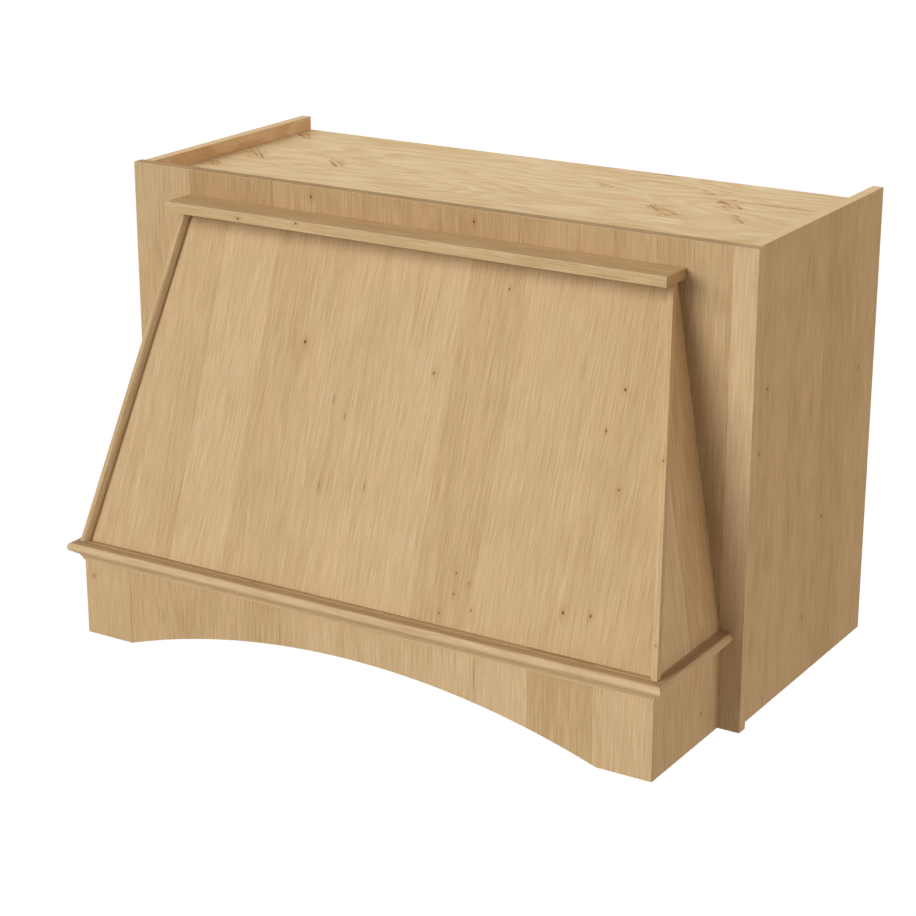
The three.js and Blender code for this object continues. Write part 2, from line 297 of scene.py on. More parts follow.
def make_pin_knot():
    """One pin knot: a dark eye, a warm halo, and the sideways push that it gives to the grain."""
    wire, given, result = new_group(
        "Pin knot",
        {"Across": 0, "Along": 0, "Knot across": 0, "Knot along": 0, "Radius": 1.5 * MM,
         "Stretch": KNOT_STRETCH, "Strength": 1.0,
         "Dark so far": 0, "Halo so far": 0, "Push so far": 0},
        {},
        ("Dark", "Halo", "Push"),
    )
    aside = wire.maths("DIVIDE", wire.minus(given["Across"], given["Knot across"]), given["Radius"])
    apart = wire.maths("DIVIDE", wire.minus(given["Along"], given["Knot along"]), given["Radius"])
    apart = wire.maths("DIVIDE", apart, given["Stretch"])
    aside_square = wire.times(aside, aside)
    apart_square = wire.times(apart, apart)
    ragged = wire.noise((given["Across"], given["Along"], 0.5), (1100, 800, 1))
    away = wire.total(wire.maths("SQRT", wire.total(aside_square, apart_square)), wire.swing(ragged, 0.9))
    dark = wire.times(wire.step_between(away, 1.2, 0.5), given["Strength"])
    wide = wire.total(wire.times(aside_square, 0.14), wire.times(apart_square, 0.08))
    halo = wire.times(wire.maths("EXPONENT", wire.times(wide, -1.0)), given["Strength"])
    fade = wire.maths("EXPONENT", wire.times(apart_square, -0.10))
    push = wire.maths("DIVIDE", aside, wire.total(aside_square, 0.7))
    push = wire.times(wire.times(push, fade), wire.times(given["Radius"], -1.2))
    wire.feed(result["Dark"], wire.maths("MAXIMUM", given["Dark so far"], dark))
    wire.feed(result["Halo"], wire.maths("MAXIMUM", given["Halo so far"], halo))
    wire.feed(result["Push"], wire.total(given["Push so far"], push))
    return wire.tree


def make_stained_patch():
    """A stained patch of veneer with short dark flecks that run aslant through it."""
    wire, given, result = new_group(
        "Stained patch",
        {"Across": 0, "Along": 0, "Patch across": 0, "Patch along": 0, "Radius": 12 * MM,
         "Stain so far": 0, "Flecks so far": 0},
        {},
        ("Stain", "Flecks"),
    )
    aslant = 0.76
    across_gap = wire.minus(given["Across"], given["Patch across"])
    along_gap = wire.minus(given["Along"], given["Patch along"])
    off = wire.total(wire.times(along_gap, math.sin(aslant)), wire.times(across_gap, math.cos(aslant)))
    run = wire.minus(wire.times(along_gap, math.cos(aslant)), wire.times(across_gap, math.sin(aslant)))
    aside = wire.maths("DIVIDE", off, given["Radius"])
    apart = wire.maths("DIVIDE", run, wire.times(given["Radius"], 2.3))
    away = wire.maths("SQRT", wire.total(wire.times(aside, aside), wire.times(apart, apart)))
    torn = wire.noise((given["Across"], given["Along"], 0.4), (130, 60, 1), 3)
    away = wire.total(away, wire.swing(torn, 1.3))
    stain = wire.times(wire.step_between(away, 1.2, 0.1), wire.total(0.4, wire.times(torn, 0.6)))
    flecks = wire.noise((off, run, given["Patch along"]), (300, 18, 50), 1)
    fleck = wire.times(wire.step_between(flecks, 0.58, 0.70), wire.step_between(away, 1.10, 0.70))
    wire.feed(result["Stain"], wire.maths("MAXIMUM", given["Stain so far"], stain))
    wire.feed(result["Flecks"], wire.maths("MAXIMUM", given["Flecks so far"], fleck))
    return wire.tree


def make_worn_edges():
    """How close a place is to the nearest edge of its board, broken up as handling wears it."""
    ends = {"Across low at start": 0, "Across low at end": 0, "Across high at start": 1,
            "Across high at end": 1, "Depth low at start": 0, "Depth low at end": 0,
            "Depth high at start": 1, "Depth high at end": 1}
    wire, given, result = new_group(
        "Worn edges",
        {"Across": 0, "Along": 0, "Depth": 0, "Start": 0, "End": 1, **ends, "Reach": 1.5 * MM},
        {},
        ("Wear", "Soiling"),
    )
    way = wire.share(given["Along"], given["Start"], given["End"])

    def side(label):
        """Where a side of the board lies at this point of its length."""
        first = given[label + " at start"]
        last = given[label + " at end"]
        return wire.total(first, wire.times(wire.minus(last, first), way))

    def to_nearest(value, low, high):
        return wire.maths("MINIMUM", wire.minus(value, low), wire.minus(high, value))

    aside = to_nearest(given["Across"], side("Across low"), side("Across high"))
    apart = to_nearest(given["Along"], given["Start"], given["End"])
    inward = to_nearest(given["Depth"], side("Depth low"), side("Depth high"))
    least = wire.maths("MINIMUM", wire.maths("MINIMUM", aside, apart), inward)
    most = wire.maths("MAXIMUM", wire.maths("MAXIMUM", aside, apart), inward)
    edge = wire.minus(wire.minus(wire.total(aside, apart, inward), least), most)
    coarse = wire.noise((given["Across"], given["Along"], given["Depth"]), (70, 70, 70), 4, 0.65)
    reach = wire.times(given["Reach"], wire.total(0.25, wire.times(coarse, 1.5)))
    wire.feed(result["Wear"], wire.step_between(edge, reach, 0.0))
    soil = wire.step_between(edge, wire.times(given["Reach"], 6.0), 0.0)
    wire.feed(result["Soiling"], wire.times(soil, wire.step_between(coarse, 0.35, 0.85)))
    return wire.tree


def make_ply_edge():
    """The layers that show on the edge of a plywood board."""
    wire, given, result = new_group(
        "Ply edge",
        {"Thickness share": 0, "Run": 0, "Layers": 7},
        {"Long layer": "FDE2B8", "Cross layer": "F5D6A8", "Glue": "BD986A"},
        ("Height",),
        ("Colour",),
    )
    wavy = wire.noise((given["Run"], 0.0, 0.0), (40, 1, 1))
    level = wire.times(wire.total(given["Thickness share"], wire.swing(wavy, 0.012)), given["Layers"])
    inside = wire.maths("FRACT", level)
    odd = wire.maths("GREATER_THAN", wire.maths("FRACT", wire.times(level, 0.5)), 0.5)
    line = wire.times(wire.step_between(wire.maths("ABSOLUTE", wire.minus(inside, 0.5)), 0.42, 0.49), 0.60)
    long_grain = wire.noise((given["Run"], given["Thickness share"], 0.3), (30, 60, 1), 3)
    end_grain = wire.noise((given["Run"], given["Thickness share"], 0.7), (900, 40, 1))
    long_layer = wire.blend(wire.times(long_grain, 0.35), given["Long layer"], given["Cross layer"])
    cross_layer = wire.blend(wire.times(end_grain, 0.35), given["Cross layer"], given["Glue"])
    layers = wire.blend(odd, long_layer, cross_layer)
    wire.feed(result["Colour"], wire.blend(line, layers, given["Glue"]))
    sunk = wire.total(wire.times(odd, -0.4), wire.times(end_grain, wire.times(odd, 0.5)))
    wire.feed(result["Height"], sunk)
    return wire.tree


def make_saw_marks():
    """The curved strokes that a saw leaves across an unplaned batten."""
    wire, given, result = new_group(
        "Saw marks", {"Across": 0, "Along": 0, "Depth": 0, "Pitch": 3.2 * MM}, {}, ("Height", "Mask"))
    bow = wire.times(wire.times(given["Across"], given["Across"]), 3.0)
    place = (given["Along"], given["Across"], given["Depth"])
    uneven = wire.noise(place, (45, 12, 1))
    turns = wire.maths("DIVIDE", wire.total(given["Along"], bow), given["Pitch"])
    wave = wire.maths("SINE", wire.times(wire.total(turns, wire.times(uneven, 1.3)), 2 * math.pi))
    mask = wire.step_between(wire.noise(place, (14, 20, 1), 3), 0.35, 0.75)
    wire.feed(result["Height"], wire.times(wire.times(wave, 0.5), mask))
    wire.feed(result["Mask"], mask)
    return wire.tree


def make_handling():
    """Faint rub marks and small dents that a sanded and delivered cabinet carries."""
    wire, given, result = new_group(
        "Handling", {"Across": 0, "Along": 0, "Depth": 0}, {}, ("Rubbed", "Dent"))
    place = (given["Across"], given["Along"], given["Depth"])
    wire.feed(result["Rubbed"], wire.step_between(wire.noise(place, (9, 5, 9), 4), 0.4, 0.9))
    wire.feed(result["Dent"], wire.step_between(wire.noise(place, (150, 110, 150), 1), 0.93, 1.0))
    return wire.tree


MAPLE_GRAIN = make_maple_grain()
PIN_KNOT = make_pin_knot()
STAINED_PATCH = make_stained_patch()
WORN_EDGES = make_worn_edges()
PLY_EDGE = make_ply_edge()
SAW_MARKS = make_saw_marks()
HANDLING = make_handling()

# what a board's look may set in the maple grain
GRAIN_NUMBERS = ("Fine lines", "Figure", "Mottle", "Rotary figure", "Wander")
GRAIN_COLOURS = ("Pale wood", "Dark wood", "Warm wood")


# ---------------------------- finishes


def measure_board(name, along, mitred=False):
    """A board's directions and its extents at both ends. A mitred one's are its box's at either end."""
    corners = [tuple(vertex.co) for vertex in parts[name].data.vertices]
    sizes = [max(c[axis] for c in corners) - min(c[axis] for c in corners) for axis in (X, Y, Z)]
    low = min(c[along] for c in corners)
    high = max(c[along] for c in corners)
    start = corners if mitred else [c for c in corners if c[along] < low + TOUCH]
    end = corners if mitred else [c for c in corners if c[along] > high - TOUCH]

    def thickness(axis):
        return max(c[axis] for c in start) - min(c[axis] for c in start)

    others = [axis for axis in (X, Y, Z) if axis != along]
    depth, across = sorted(others, key=lambda axis: (round(thickness(axis), 4), sizes[axis]))
    extents = {"Start": low, "End": high}
    for label, axis in (("Across", across), ("Depth", depth)):
        for place, points in (("start", start), ("end", end)):
            extents[label + " low at " + place] = min(c[axis] for c in points)
            extents[label + " high at " + place] = max(c[axis] for c in points)
    return across, depth, extents


def plank_values(wire, across, planks, low, high):
    """Tone, seed, middle and joint mask of the plank that a place is on, looked up by its place across."""
    ramp = wire.add("ShaderNodeValToRGB")
    ramp.color_ramp.interpolation = "CONSTANT"
    elements = ramp.color_ramp.elements
    elements.remove(elements[1])
    start = low
    for number, (end, tone) in enumerate(planks):
        seed = (0.37 + NEXT_SEED * number + 3.1 * abs(low)) % 1
        middle = ((start + end) / 2 - low) / (high - low)
        spot = max(0.0, (start + JOINT_WIDTH / 2 - low) / (high - low)) if number else 0.0
        element = elements.new(spot) if number else elements[0]
        element.position = spot
        element.color = (tone + MIDDLE_TONE, seed, middle, 1.0)
        if number < len(planks) - 1:
            joint = elements.new((end - JOINT_WIDTH / 2 - low) / (high - low))
            joint.color = (tone + MIDDLE_TONE, seed, middle, 0.0)
        start = end
    wire.feed(ramp.inputs[0], wire.share(across, low, high))
    looked_up = wire.add("ShaderNodeSeparateColor")
    wire.feed(looked_up.inputs[0], ramp.outputs["Color"])
    tone, seed, middle = looked_up.outputs
    tone = wire.minus(tone, MIDDLE_TONE)
    middle = wire.total(wire.times(middle, high - low), low)
    return tone, seed, middle, wire.minus(1.0, ramp.outputs["Alpha"])


def start_material(name):
    material = bpy.data.materials.new(name)
    material.use_nodes = True
    wire = Wiring(material.node_tree)
    surface = next(node for node in material.node_tree.nodes if node.type == "BSDF_PRINCIPLED")
    return material, wire, surface


def read_places(wire, across, along, depth):
    """Where a point is on its board, and which way the surface faces there."""
    coordinates = wire.add("ShaderNodeTexCoord")
    place = wire.parted(coordinates.outputs["Object"])
    facing = wire.parted(coordinates.outputs["Normal"])
    return {"Across": place[across], "Along": place[along], "Depth": place[depth]}, facing


def put_bump(wire, surface, height, distance, strength):
    bump = wire.add("ShaderNodeBump")
    bump.inputs["Strength"].default_value = strength
    bump.inputs["Distance"].default_value = distance
    wire.feed(bump.inputs["Height"], height)
    wire.feed(surface.inputs["Normal"], bump.outputs["Normal"])


def maple_finish(name, along, across, depth, extents, look):
    """Sanded maple for one board: planks, grain, knots, worn edges, ply layers where it has them, and
    painted light and shade by the way each face turns.
    """
    material, wire, surface = start_material(name + "_maple")
    places, facing = read_places(wire, across, along, depth)
    place_across, place_along, place_depth = places.values()

    length = extents["End"] - extents["Start"]
    way = wire.minus(place_along, extents["Start"])
    back_lean = (extents["Depth low at end"] - extents["Depth low at start"]) / length
    grain_depth = wire.minus(place_depth, wire.times(way, back_lean))
    grain_across = place_across
    if look.get("follows lean"):
        side_lean = (extents["Across low at end"] - extents["Across low at start"]) / length
        grain_across = wire.minus(place_across, wire.times(way, side_lean))

    low = min(extents["Across low at start"], extents["Across low at end"])
    high = max(extents["Across high at start"], extents["Across high at end"])
    planks = look.get("planks", [(high, 0.0)])
    tone, seed, middle, joint = plank_values(wire, grain_across, planks, low, high)
    tone = wire.total(tone, look.get("tone", 0.0))

    def knot_at(place, knot_across, knot_along, radius, **settings):
        return wire.use(
            PIN_KNOT, Across=place, Along=place_along, Knot_across=knot_across, Knot_along=knot_along,
            Radius=radius, **settings)

    dark = halo = push = 0.0
    eyes = [(*knot, KNOT_STRETCH, 1.0) for knot in look.get("knots", ())]
    dashes = [(*dash, look.get("dash strength", 0.55)) for dash in look.get("dashes", ())]
    for *spot, stretch, strength in eyes + dashes:
        knot = knot_at(
            place_across, *spot, Stretch=stretch, Strength=strength,
            Dark_so_far=dark, Halo_so_far=halo, Push_so_far=push)
        dark, halo, push = knot["Dark"], knot["Halo"], knot["Push"]
    edge_knots = look.get("front edge knots", ())
    on_front = wire.maths("LESS_THAN", facing[across], -0.5)
    for spot in edge_knots:
        knot = knot_at(place_depth, *spot)
        dark = wire.maths("MAXIMUM", dark, wire.times(knot["Dark"], on_front))
        halo = wire.maths("MAXIMUM", halo, wire.times(knot["Halo"], on_front))
    stain = flecks = 0.0
    for patch_across, patch_along, radius in look.get("patches", ()):
        patch = wire.use(
            STAINED_PATCH, Across=place_across, Along=place_along, Patch_across=patch_across,
            Patch_along=patch_along, Radius=radius, Stain_so_far=stain, Flecks_so_far=flecks)
        stain, flecks = patch["Stain"], patch["Flecks"]

    settings = {label: look[label.lower()] for label in GRAIN_NUMBERS if label.lower() in look}
    settings.update({label: colour(look[label]) for label in GRAIN_COLOURS if label in look})
    grain = wire.use(
        MAPLE_GRAIN, Across=wire.total(grain_across, push), Along=place_along, Depth=grain_depth,
        Seed=seed, Middle=middle, Tone=tone, **settings)
    if "inner face" in look:
        inside = wire.maths("GREATER_THAN", wire.times(facing[depth], look["inner face"]), 0.5)
        outside = wire.minus(1.0, inside)
        turn = wire.times(inside, wire.minus(place_along, grain_across))
        inputs = grain["Colour"].node.inputs
        wire.feed(inputs["Across"], wire.total(grain_across, push, turn))
        wire.feed(inputs["Along"], wire.minus(place_along, turn))
        wire.feed(inputs["Rotary figure"], wire.times(inside, INNER_FIGURE))
        wire.feed(inputs["Seed"], wire.times(seed, outside))
        wire.feed(inputs["Tone"], wire.total(wire.times(tone, outside), wire.times(inside, INNER_TONE)))
        joint = wire.times(joint, outside)
    edges = wire.use(WORN_EDGES, Reach=look.get("reach", 1.4 * MM), **places, **extents)
    marks = wire.use(HANDLING, **places)

    shade = wire.blend(wire.times(joint, look.get("glue line", 0.40)), grain["Colour"], colour(GLUE_BROWN))
    if "patches" in look:
        shade = wire.blend(wire.times(stain, 0.60), shade, colour(PATCH_STAIN))
        shade = wire.blend(wire.times(flecks, 0.58), shade, colour(PATCH_FLECK))
    if eyes or dashes or edge_knots:
        shade = wire.blend(wire.times(halo, 0.35), shade, colour(KNOT_HALO))
        shade = wire.blend(wire.times(dark, 0.85), shade, colour(KNOT_EYE))
    height = wire.total(grain["Height"], wire.times(marks["Dent"], -1.2), wire.times(joint, -0.8))
    if "layers" not in look:
        on_end = wire.step_between(wire.maths("ABSOLUTE", facing[along]), 0.6, 0.8)
        shade = wire.blend(wire.times(on_end, 0.24), shade, colour(END_GRAIN_BROWN))
    else:
        on_edge = wire.maths("LESS_THAN", wire.maths("ABSOLUTE", facing[depth]), 0.5)
        through = wire.share(place_depth, extents["Depth low at start"], extents["Depth high at start"])
        run = wire.total(place_across, place_along)
        layers = wire.use(PLY_EDGE, Thickness_share=through, Run=run, Layers=look["layers"])
        shade = wire.blend(on_edge, shade, layers["Colour"])
        height = wire.total(height, wire.times(layers["Height"], on_edge))
    for spot in look.get("putty", ()):
        filled = knot_at(place_across, *spot, Stretch=0.3)
        inside = wire.maths("GREATER_THAN", facing[depth], 0.5)
        shade = wire.blend(wire.times(wire.times(filled["Dark"], inside), 0.85), shade, colour(FILLER))
    shade = wire.blend(wire.times(edges["Soiling"], 0.10), shade, colour(SOILED))
    shade = wire.blend(wire.times(edges["Wear"], look.get("wear", 0.35)), shade, colour(WORN))
    sideways = wire.step_between(wire.maths("ABSOLUTE", facing[X]), *look.get("sideways", SIDEWAYS))
    upwards = wire.step_between(facing[Z], 0.80, 0.97)
    downwards = wire.step_between(facing[Z], -0.15, -0.50)
    # painted warm bounce light on faces that turn to the side
    shade = wire.blend(sideways, shade, colour(PAINTED_SIDE_BOUNCE), "MULTIPLY")
    # painted shade on faces that turn up
    shade = wire.blend(upwards, shade, colour(look.get("painted top shade", PAINTED_TOP_SHADE)), "MULTIPLY")
    # painted warm bounce light on faces that turn down
    shade = wire.blend(downwards, shade, colour(PAINTED_UNDER_BOUNCE), "MULTIPLY")
    roughness = wire.total(
        grain["Roughness"], wire.times(edges["Wear"], -0.08), wire.times(marks["Rubbed"], 0.06))

    wire.feed(surface.inputs["Base Color"], shade)
    wire.feed(surface.inputs["Roughness"], roughness)
    surface.inputs["Specular IOR Level"].default_value = 0.06
    put_bump(wire, surface, height, 0.12 * MM, 0.5)
    return material


def batten_finish(name, along, across, depth, extents, seed):
    """Sawn softwood for the hidden battens: broad rings, saw strokes and fuzzy corners."""
    material, wire, surface = start_material(name + "_softwood")
    places, _ = read_places(wire, across, along, depth)
    middle = (extents["Across low at start"] + extents["Across high at start"]) / 2
    grain = wire.use(
        MAPLE_GRAIN, Seed=seed, Middle=middle, Fine_lines=0.8, Figure=0.9, Lean=0.12, Mottle=0.4,
        Pale_wood=colour("DCC08C"), Dark_wood=colour("A97F49"), Warm_wood=colour("CE9C5E"), **places)
    saw = wire.use(SAW_MARKS, **places)
    edges = wire.use(WORN_EDGES, Reach=2.2 * MM, **places, **extents)
    shade = wire.blend(wire.times(saw["Mask"], 0.12), grain["Colour"], colour("E6D2A6"))
    shade = wire.blend(wire.times(edges["Wear"], 0.30), shade, colour("EBDAB4"))
    wire.feed(surface.inputs["Base Color"], shade)
    wire.feed(surface.inputs["Roughness"], wire.total(grain["Roughness"], 0.20))
    surface.inputs["Specular IOR Level"].default_value = 0.25
    put_bump(wire, surface, wire.total(grain["Height"], saw["Height"]), 0.25 * MM, 0.6)
    return material


def screw_finish(name):
    """Zinc-plated steel with a faint yellow passivation that varies in clouds."""
    material, wire, surface = start_material(name)
    place = wire.parted(wire.add("ShaderNodeTexCoord").outputs["Object"])
    cloud = wire.noise(place, (500, 500, 500), 3)
    scratch = wire.noise(place, (3000, 400, 3000))
    roughness = wire.total(0.26, wire.times(cloud, 0.14), wire.times(scratch, 0.12))
    wire.feed(surface.inputs["Base Color"], wire.blend(cloud, colour("B9AE93"), colour("D8D2C0")))
    wire.feed(surface.inputs["Roughness"], roughness)
    surface.inputs["Metallic"].default_value = 1.0
    put_bump(wire, surface, scratch, 0.02 * MM, 0.4)
    return material


# ---------------------------- what each board looks like

VISIBLE_BOARDS = {
    "face_panel": (Z, {
        # the middle planks' low tones are partly the wood's own tone and partly painted shade on the strip
        # above the cap, where the cap keeps light off the face
        "planks": [(-0.3642, -0.06), (-0.2322, -0.40), (-0.1402, -0.30), (-0.0862, -0.24), (0.0078, -0.34),
                   (0.1738, -0.36), (0.4238, -0.20), (0.4572, 0.14)],
        "glue line": 0.22, "Pale wood": "D9BD95", "Dark wood": "B08F65",
        "knots": [(-0.1696, 0.0558, 1.7 * MM), (0.0744, 0.0540, 1.7 * MM)]}),
    "side_panel_left": (Z, {
        "planks": [(-0.267, 0.02), (-0.168, -0.02), (-0.082, 0.03), (0.0, 0.0)],
        "inner face": 1, "glue line": 0.15, "tone": 0.1, "figure": 0.6, "fine lines": 0.6,
        "Pale wood": "E6CAA2", "Dark wood": "C09A6B", "Warm wood": "D0A273",
        "putty": [(-0.3332, 0.0643, 8 * MM)],
        "layers": 9}),
    "side_panel_right": (Z, {
        "planks": [(-0.267, -0.01), (-0.168, -0.06), (-0.082, -0.12), (0.0, 0.02)],
        "inner face": -1, "glue line": 0.15,
        "Pale wood": "DEC29B", "Dark wood": "B29063", "Warm wood": "CA9B70",
        "knots": [(-0.3306, -0.1120, 1.6 * MM), (-0.0512, -0.1574, 1.5 * MM), (-0.3469, -0.1892, 1.3 * MM),
                  (-0.1477, -0.3306, 1.7 * MM), (-0.1935, -0.4531, 1.3 * MM)],
        "layers": 9}),
    "top_panel": (X, {
        "Pale wood": "FDE8C0", "Dark wood": "E6C596", "Warm wood": "EBB981",
        "patches": [(-0.2572, -0.4128, 9 * MM), (-0.1776, -0.4045, 14 * MM), (-0.0409, -0.4137, 12 * MM),
                    (-0.1723, -0.2728, 13 * MM), (-0.1913, 0.2363, 16 * MM), (-0.1872, 0.3364, 14 * MM),
                    (-0.1208, 0.2963, 15 * MM), (-0.1031, 0.1026, 8 * MM), (-0.0749, 0.2419, 8 * MM)],
        "dashes": [(-0.3080, -0.3450, 1.2 * MM, 9), (-0.0985, 0.3420, 1.1 * MM, 16),
                   (-0.0958, 0.3780, 1.2 * MM, 14), (-0.0040, 0.1475, 1.8 * MM, 3)],
        "dash strength": 0.9,
        "figure": 0.1, "rotary figure": 0.22, "wander": 30 * MM, "mottle": 1.1, "fine lines": 2.2,
        "layers": 7}),
    "sloped_panel": (Z, {
        "planks": [(-0.293, -0.03), (-0.2066, 0.10), (-0.140, -0.06), (0.081, 0.06), (0.1635, -0.05),
                   (0.290, 0.05), (0.4259, -0.06)],
        "glue line": 0.08, "fine lines": 0.9, "mottle": 0.28,
        "knots": [(0.3196, -0.1059, 1.5 * MM), (0.3044, -0.1548, 1.3 * MM), (0.3347, -0.2164, 1.2 * MM),
                  (0.2913, -0.3628, 1.8 * MM), (0.3280, -0.3599, 1.6 * MM), (0.1388, -0.3467, 1.0 * MM),
                  (0.1589, -0.3549, 0.9 * MM), (0.1403, -0.3709, 1.1 * MM), (0.1249, -0.3960, 1.0 * MM),
                  (0.1685, -0.3844, 0.9 * MM), (0.1410, -0.0161, 1.2 * MM), (-0.1389, -0.1167, 2.0 * MM),
                  (0.0571, -0.1258, 1.3 * MM)],
        "dashes": [(-0.0806, -0.1773, 1.1 * MM, 6), (-0.0600, -0.1950, 1.1 * MM, 5),
                   (-0.0799, -0.2817, 1.0 * MM, 6), (-0.0131, -0.2717, 1.0 * MM, 6)]}),
    "cheek_left": (Z, {"planks": [(-0.46, 0.32), (-0.3813, 0.02)]}),
    "cheek_right": (Z, {"planks": [(-0.46, 0.34), (-0.3813, -0.06)], "glue line": 0.1}),
    "apron_front": (Z, {
        "planks": [(-0.3533, -0.04), (-0.110, -0.16), (0.0903, 0.00), (0.1825, 0.04), (0.255, 0.10),
                   (0.3455, -0.20), (0.4269, 0.05)],
        "glue line": 0.2,
        "dashes": [(0.1822, -0.4650, 0.8 * MM, 22)],
        "knots": [(-0.4126, -0.4569, 1.3 * MM)]}),
    "apron_left": (Z, {"tone": 0.16}),
    "apron_right": (Z, {"tone": 0.16, "knots": [(-0.429, -0.5021, 1.2 * MM)]}),
    "cap_board": (X, {"tone": 0.06, "Pale wood": "DABD94",
        "front edge knots": [(0.0273, -0.2489, 1.5 * MM), (0.0326, -0.1582, 1.2 * MM)]}),
}

CORNER_STRIPS = {
    "corner_strip_left": {"follows lean": True},
    "corner_strip_right": {
        "follows lean": True, "knots": [(0.3887, -0.1718, 0.9 * MM), (0.4220, -0.3709, 0.9 * MM)]},
}

MOULDINGS = {
    # the mouldings' flat tops take a strong painted shade (E1D8D3), and their curved faces a wider painted
    # side bounce light
    "reach": 3.0 * MM, "wear": 0.25, "tone": 0.17, "painted top shade": "E1D8D3", "sideways": (0.4, 0.8)}

BATTENS = {
    "wall_rail_upper": X, "wall_rail_lower": X, "top_cleat_front": X, "top_cleat_left": Y,
    "top_cleat_right": Y, "face_cleat_left": Z, "face_cleat_right": Z, "liner_cleat_left": Y,
    "liner_cleat_right": Y, "apron_block_left": Z, "apron_block_right": Z, "return_cleat_left": Z,
    "return_cleat_right": Z, "cheek_cleat_left": Z, "cheek_cleat_right": Z, "panel_rail": X,
}

MITRED = ("apron_front", "apron_left", "apron_right")


def ease_edges(board, width, turns):
    """Rounds a board's edges over in the given number of turns."""
    ease = board.modifiers.new("Eased edges", "BEVEL")
    ease.width = width
    ease.segments = turns
    ease.limit_method = "ANGLE"
    ease.angle_limit = math.radians(30)


def join_surfaces(board):
    """Joins a CAD board's split corners and flat triangles, so that its edges can be rounded."""
    join = board.modifiers.new("Join corners", "WELD")
    join.merge_threshold = 0.01 * MM
    flatten = board.modifiers.new("Join flat faces", "DECIMATE")
    flatten.decimate_type = "DISSOLVE"
    flatten.angle_limit = math.radians(0.2)


def dress(board, material):
    board.data.materials.clear()
    board.data.materials.append(material)


for name, (along, look) in VISIBLE_BOARDS.items():
    across, depth, extents = measure_board(name, along)
    dress(parts[name], maple_finish(name, along, across, depth, extents, look))
    join_surfaces(parts[name])
    ease_edges(parts[name], MITRED_EDGE if name in MITRED else EASED_EDGE, 3)

for number, (name, along) in enumerate(BATTENS.items()):
    across, depth, extents = measure_board(name, along)
    seed = (0.21 + NEXT_SEED * number) % 1
    dress(parts[name], batten_finish(name, along, across, depth, extents, seed))
    join_surfaces(parts[name])
    ease_edges(parts[name], ROUGH_EDGE, 2)


# ---------------------------- pieces made here in place of CAD nodes


def piece_from(name, points, faces, stands_for, material):
    """A new mesh piece that rides on the hood in place of a CAD node."""
    mesh = bpy.data.meshes.new(name)
    built = bmesh.new()
    vertices = [built.verts.new(point) for point in points]
    for face in faces:
        built.faces.new([vertices[number] for number in face])
    bmesh.ops.recalc_face_normals(built, faces=built.faces)
    for face in built.faces:
        face.smooth = True
    for edge in built.edges:
        if edge.calc_face_angle(0) > math.radians(35):
            edge.smooth = False
    built.to_mesh(mesh)
    built.free()
    piece = bpy.data.objects.new(name, mesh)
    bpy.context.scene.collection.objects.link(piece)
    mesh.materials.append(material)
    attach(piece, "root")
    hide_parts(stands_for)
    return piece


def curve_between(start, first_handle, second_handle, end, steps):
    """Points of a cubic curve, without its first point."""
    points = []
    for step in range(1, steps + 1):
        t = step / steps
        weights = ((1 - t) ** 3, 3 * t * (1 - t) ** 2, 3 * t * t * (1 - t), t ** 3)
        handles = (start, first_handle, second_handle, end)
        points.append(tuple(sum(w * h[axis] for w, h in zip(weights, handles)) for axis in (0, 1)))
    return points


def in_millimetres(*points):
    return [tuple(value * MM for value in point) for point in points]


def moulding_section():
    """The moulding's outline as (projection, height) points: lip, cove, fillet, round nose and flat top."""
    bottom, foot, lip = in_millimetres((0, 0), (1.1, 0), (1.1, 0.9))
    cove_end, fillet_foot, fillet_top = in_millimetres((9.4, 11.5), (10.2, 11.5), (10.2, 12.9))
    nose_tip, shoulder, back = in_millimetres((16.3, 19.0), (10.2, 25.8), (0, 25.6))
    points = [bottom, foot, lip]
    points += curve_between(lip, *in_millimetres((2.7, 4.8), (4.2, 9.6)), cove_end, 16)
    points += [fillet_foot, fillet_top]
    points += curve_between(fillet_top, *in_millimetres((13.0, 12.9), (16.3, 15.2)), nose_tip, 16)
    points += curve_between(nose_tip, *in_millimetres((16.3, 23.0), (13.6, 25.8)), shoulder, 16)
    points.append(back)
    return points


def strip_section():
    """The corner strip's outline as shares of its width from outside and of its depth from the front."""
    width, depth = 11, 9.5
    arris, low = (5.6, 0), (width, 6.2)
    bevel = curve_between(arris, (7.6, 1.4), (9.5, 3.7), low, 8)
    points = [(0, depth), (0, 0), arris, *bevel, (width, depth)]
    return [(aside / width, inward / depth) for aside, inward in points]


def drawn_faces(count):
    """The faces between two outlines of count points, with both ends closed."""
    faces = [tuple(range(count)), tuple(range(count, 2 * count))]
    for number in range(count):
        following = (number + 1) % count
        faces.append((number, following, count + following, count + number))
    return faces


def moulding_piece(name, start_place, end_place):
    """A moulding: its section is set down at both ends, where start_place and end_place say."""
    section = moulding_section()
    points = [start_place(*point) for point in section] + [end_place(*point) for point in section]
    along = X if name == "moulding_front" else Y
    across, depth, extents = measure_board(name, along, mitred=True)
    material = maple_finish(name, along, across, depth, extents, MOULDINGS)
    piece_from("shaped_" + name, points, drawn_faces(len(section)), name, material)


def strip_piece(name, side, look):
    """A corner strip on the left (-1) or right (1): its inner front corner is taken off by a steep curve."""
    across, depth, extents = measure_board(name, Z)
    outer, inner = ("high", "low") if side > 0 else ("low", "high")
    points = []
    for end, height in (("start", extents["Start"]), ("end", extents["End"])):
        outside = extents["Across " + outer + " at " + end]
        inside = extents["Across " + inner + " at " + end]
        front = extents["Depth low at " + end]
        back = extents["Depth high at " + end]
        for width_share, depth_share in strip_section():
            place_x = outside + (inside - outside) * width_share
            place_y = front + (back - front) * depth_share
            points.append((place_x, place_y, height))
    faces = drawn_faces(len(points) // 2)
    material = maple_finish(name, Z, across, depth, extents, look)
    strip = piece_from("shaped_" + name, points, faces, name, material)
    ease_edges(strip, EASED_EDGE, 3)


